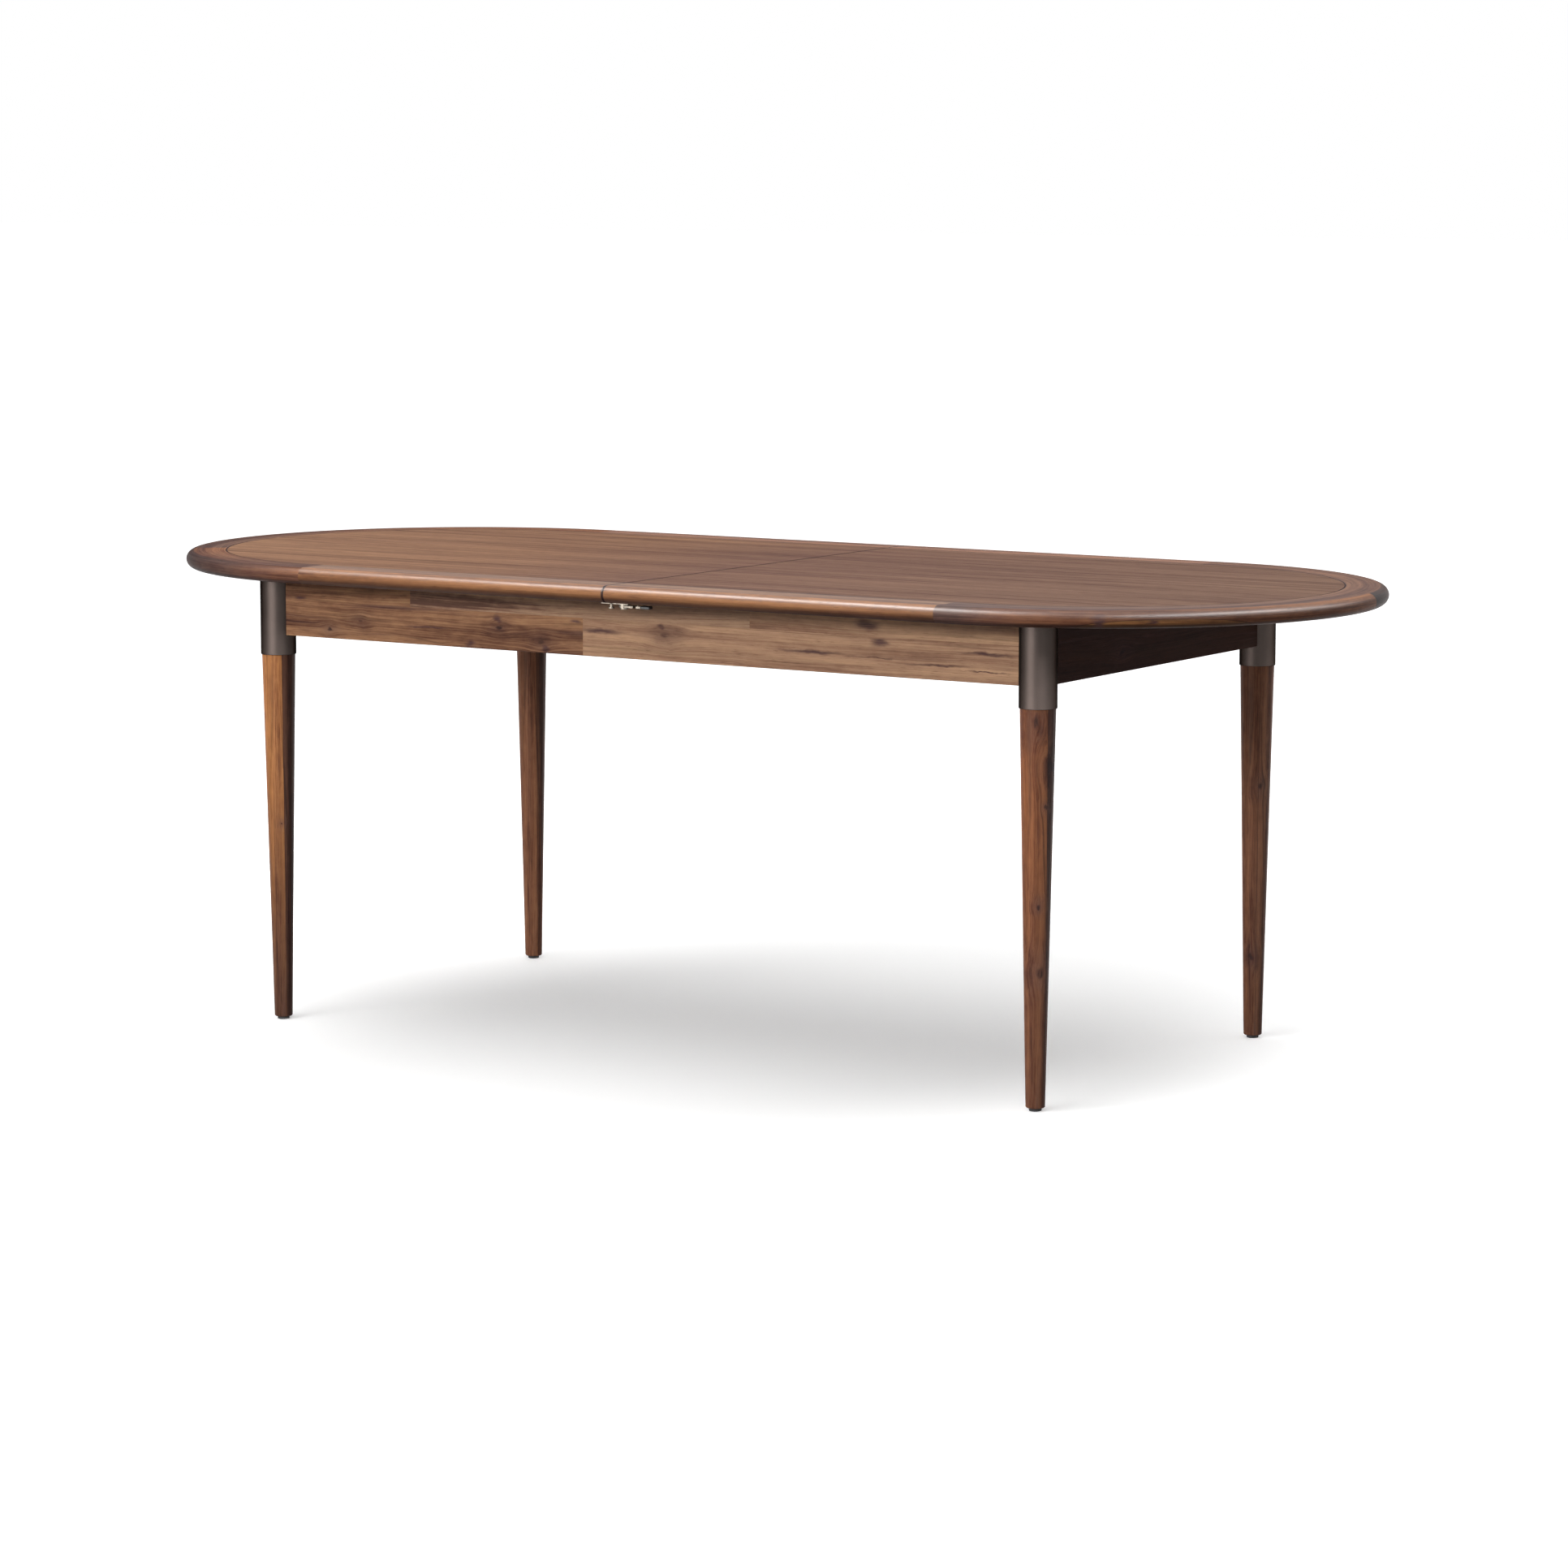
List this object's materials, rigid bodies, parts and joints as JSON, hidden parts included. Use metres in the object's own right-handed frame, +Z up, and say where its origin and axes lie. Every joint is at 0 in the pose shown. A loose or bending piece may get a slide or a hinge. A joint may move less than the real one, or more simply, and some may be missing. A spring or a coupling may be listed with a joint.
{
  "type": "extendable dining table",
  "caption": "Round-ended extendable wooden dining table on tapered round legs, with a top that slides apart over a stored folding leaf.",
  "frame": {"origin": "the middle of the table's footprint, on the floor", "axes": "+X along the length, the way the right half top slides; -Y towards the front; +Z up"},
  "size_m": [2.1338, 0.914, 0.762],
  "materials": {
    "top_veneer": "satin lacquered brown veneer, grain along X",
    "rim_wood": "satin lacquered acacia, lighter straight rims",
    "rim_wood_dark": "satin lacquered acacia, darker curved rims",
    "leg_wood": "satin lacquered turned acacia, glued up from staves",
    "apron_wood": "satin lacquered acacia staves",
    "frame_wood": "unfinished hardwood",
    "slide_wood": "waxed beech",
    "dowel_wood": "plain beech dowel",
    "ferrule_metal": "satin dark bronze",
    "glide_rubber": "matt black",
    "steel_zinc": "bright zinc plated",
    "steel_dark": "oiled plain steel",
    "nickel": "satin nickel plated",
    "nylon": "smooth white nylon",
    "black_plastic": "moulded matt black"
  },
  "bodies": {
    "base": {"front_left_leg": "leg_wood", "front_right_leg": "leg_wood", "rear_left_leg": "leg_wood", "rear_right_leg": "leg_wood", "front_left_ferrule": "ferrule_metal", "front_right_ferrule": "ferrule_metal", "rear_left_ferrule": "ferrule_metal", "rear_right_ferrule": "ferrule_metal", "leg_glides": "glide_rubber", "front_apron": "apron_wood", "rear_apron": "apron_wood", "left_apron": "apron_wood", "right_apron": "apron_wood", "corner_blocks": "frame_wood", "hanger_bolts": "steel_zinc", "hanger_nuts_and_washers": "steel_zinc", "cross_rails": "frame_wood", "runner_pads": "nylon", "slide_rails": "slide_wood", "pinion_pins": "steel_dark", "leaf_upper_field": "top_veneer", "leaf_lower_field": "top_veneer", "leaf_upper_rim": "rim_wood", "leaf_lower_rim": "rim_wood", "leaf_pins": "dowel_wood", "leaf_hinge_cups": "nickel", "leaf_hinge_links": "nickel", "leaf_rests": "frame_wood", "leaf_pivot_ears": "steel_zinc", "leaf_pivot_brackets": "steel_zinc", "leaf_pivot_pins": "steel_dark"},
    "top_left": {"left_top_field": "top_veneer", "front_left_straight_rim": "rim_wood", "rear_left_straight_rim": "rim_wood", "front_left_curved_rim": "rim_wood_dark", "rear_left_curved_rim": "rim_wood_dark", "left_batten": "frame_wood", "front_left_slide": "slide_wood", "rear_left_slide": "slide_wood", "left_racks": "steel_dark", "left_top_screws": "steel_zinc", "alignment_pins": "dowel_wood", "lock_keepers": "nickel"},
    "top_right": {"right_top_field": "top_veneer", "front_right_straight_rim": "rim_wood", "rear_right_straight_rim": "rim_wood", "front_right_curved_rim": "rim_wood_dark", "rear_right_curved_rim": "rim_wood_dark", "right_batten": "frame_wood", "front_right_slide": "slide_wood", "rear_right_slide": "slide_wood", "right_racks": "steel_dark", "right_top_screws": "steel_zinc", "lock_plates": "nickel"},
    "front_pinion": {"front_pinion": "steel_dark"},
    "rear_pinion": {"rear_pinion": "steel_dark"},
    "front_lock_lever": {"front_lock_lever": "nickel", "front_lock_grip": "black_plastic"},
    "rear_lock_lever": {"rear_lock_lever": "nickel", "rear_lock_grip": "black_plastic"}
  },
  "joints": [
    {"name": "top_left_slide", "type": "slide", "parent": "base", "child": "top_left", "axis": [-1, 0, 0], "range_m": [0, 0.254]},
    {"name": "top_right_slide", "type": "slide", "parent": "base", "child": "top_right", "axis": [1, 0, 0], "range_m": [0, 0.254]},
    {"name": "front_pinion_turn", "type": "hinge", "parent": "base", "child": "front_pinion", "pos_m": [0, -0.292, 0.704], "axis": [0, 0, 1], "range_deg": [-910, 0]},
    {"name": "rear_pinion_turn", "type": "hinge", "parent": "base", "child": "rear_pinion", "pos_m": [0, 0.292, 0.704], "axis": [0, 0, 1], "range_deg": [-910, 0]},
    {"name": "front_lock_turn", "type": "hinge", "parent": "top_right", "child": "front_lock_lever", "pos_m": [0.015, -0.418, 0.7282], "axis": [0, 0, 1], "range_deg": [-180, 0]},
    {"name": "rear_lock_turn", "type": "hinge", "parent": "top_right", "child": "rear_lock_lever", "pos_m": [0.015, 0.418, 0.7282], "axis": [0, 0, 1], "range_deg": [0, 180]}
  ],
  "couplings": [
    {"joint": "top_right_slide", "follows": "top_left_slide", "ratio": 1},
    {"joint": "front_pinion_turn", "follows": "top_left_slide", "rad_per_m": -62.5},
    {"joint": "rear_pinion_turn", "follows": "top_left_slide", "rad_per_m": -62.5}
  ]
}
